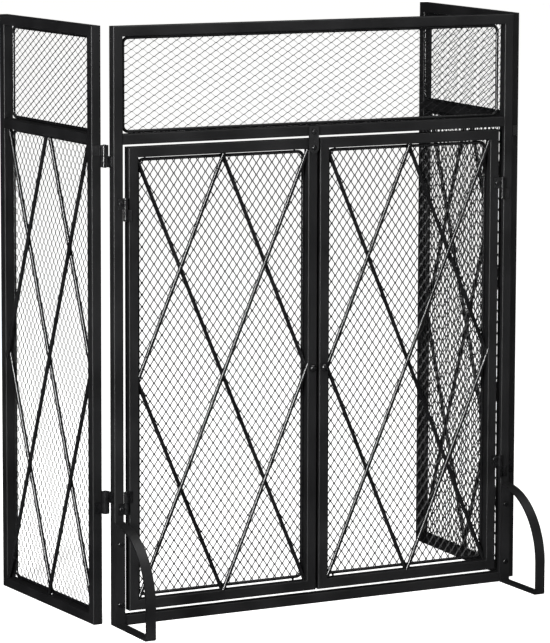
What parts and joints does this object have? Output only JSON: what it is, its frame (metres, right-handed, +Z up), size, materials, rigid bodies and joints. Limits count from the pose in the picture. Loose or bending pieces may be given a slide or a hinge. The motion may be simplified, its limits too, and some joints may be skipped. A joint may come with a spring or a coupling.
{
  "type": "fireplace screen",
  "caption": "Free-standing folding fireplace screen: centre panel with a pair of mesh doors, two hinged wings, D-shaped front feet and a crossed-rod pattern.",
  "frame": {"origin": "middle of the screen's footprint on the floor", "axes": "+Z up, +X to the right of someone facing the screen, +Y from the room towards the hearth"},
  "size_m": [0.6804, 0.3936, 0.8],
  "materials": {
    "frame_black": "satin black powder coat on steel tube, rod and bar",
    "mesh_black": "satin black powder coat on expanded steel mesh",
    "hardware_black": "semi-gloss black hinges, screws, knobs and catch"
  },
  "bodies": {
    "centre_panel": {"centre_bottom_rail": "frame_black", "centre_left_stile": "frame_black", "centre_mesh": "mesh_black", "centre_mesh_border": "frame_black", "centre_middle_rail": "frame_black", "centre_right_stile": "frame_black", "centre_top_rail": "frame_black", "door_hinge_frame_leaves": "hardware_black", "door_hinge_frame_screws": "hardware_black", "door_hinge_pins": "hardware_black", "foot_screws": "hardware_black", "left_foot": "frame_black", "right_foot": "frame_black", "wing_hinge_frame_leaves": "hardware_black", "wing_hinge_pins": "hardware_black"},
    "left_wing": {"left_wing_bottom_rail": "frame_black", "left_wing_far_stile": "frame_black", "left_wing_hinge_leaves": "hardware_black", "left_wing_lower_mesh": "mesh_black", "left_wing_lower_mesh_border": "frame_black", "left_wing_middle_rail": "frame_black", "left_wing_near_stile": "frame_black", "left_wing_rods": "frame_black", "left_wing_top_rail": "frame_black", "left_wing_upper_mesh": "mesh_black", "left_wing_upper_mesh_border": "frame_black"},
    "right_wing": {"right_wing_bottom_rail": "frame_black", "right_wing_far_stile": "frame_black", "right_wing_hinge_leaves": "hardware_black", "right_wing_lower_mesh": "mesh_black", "right_wing_lower_mesh_border": "frame_black", "right_wing_middle_rail": "frame_black", "right_wing_near_stile": "frame_black", "right_wing_rods": "frame_black", "right_wing_top_rail": "frame_black", "right_wing_upper_mesh": "mesh_black", "right_wing_upper_mesh_border": "frame_black"},
    "left_door": {"catch_rivet": "hardware_black", "left_door_bottom_rail": "frame_black", "left_door_hinge_leaves": "hardware_black", "left_door_hinge_stile": "frame_black", "left_door_knob": "hardware_black", "left_door_meeting_stile": "frame_black", "left_door_mesh": "mesh_black", "left_door_mesh_border": "frame_black", "left_door_rods": "frame_black", "left_door_top_rail": "frame_black"},
    "right_door": {"right_door_bottom_rail": "frame_black", "right_door_hinge_leaves": "hardware_black", "right_door_hinge_screws": "hardware_black", "right_door_hinge_stile": "frame_black", "right_door_knob": "hardware_black", "right_door_meeting_stile": "frame_black", "right_door_mesh": "mesh_black", "right_door_mesh_border": "frame_black", "right_door_rods": "frame_black", "right_door_top_rail": "frame_black"},
    "catch": {"catch_grip": "hardware_black", "catch_plate": "hardware_black"}
  },
  "joints": [
    {"name": "left_wing_hinge", "type": "hinge", "parent": "centre_panel", "child": "left_wing", "pos_m": [-0.3109, -0.08195, 0.4], "axis": [0, 0, 1], "range_deg": [-92.6, 87.4]},
    {"name": "right_wing_hinge", "type": "hinge", "parent": "centre_panel", "child": "right_wing", "pos_m": [0.3109, -0.08195, 0.4], "axis": [0, 0, -1], "range_deg": [-92.6, 87.4]},
    {"name": "left_door_hinge", "type": "hinge", "parent": "centre_panel", "child": "left_door", "pos_m": [-0.2895, -0.10135, 0.35], "axis": [0, 0, -1], "range_deg": [0, 90]},
    {"name": "right_door_hinge", "type": "hinge", "parent": "centre_panel", "child": "right_door", "pos_m": [0.2895, -0.10135, 0.35], "axis": [0, 0, 1], "range_deg": [0, 90]},
    {"name": "catch_pivot", "type": "hinge", "parent": "left_door", "child": "catch", "pos_m": [-0.0095, -0.10235, 0.6281], "axis": [0, -1, 0], "range_deg": [0, 90]}
  ]
}
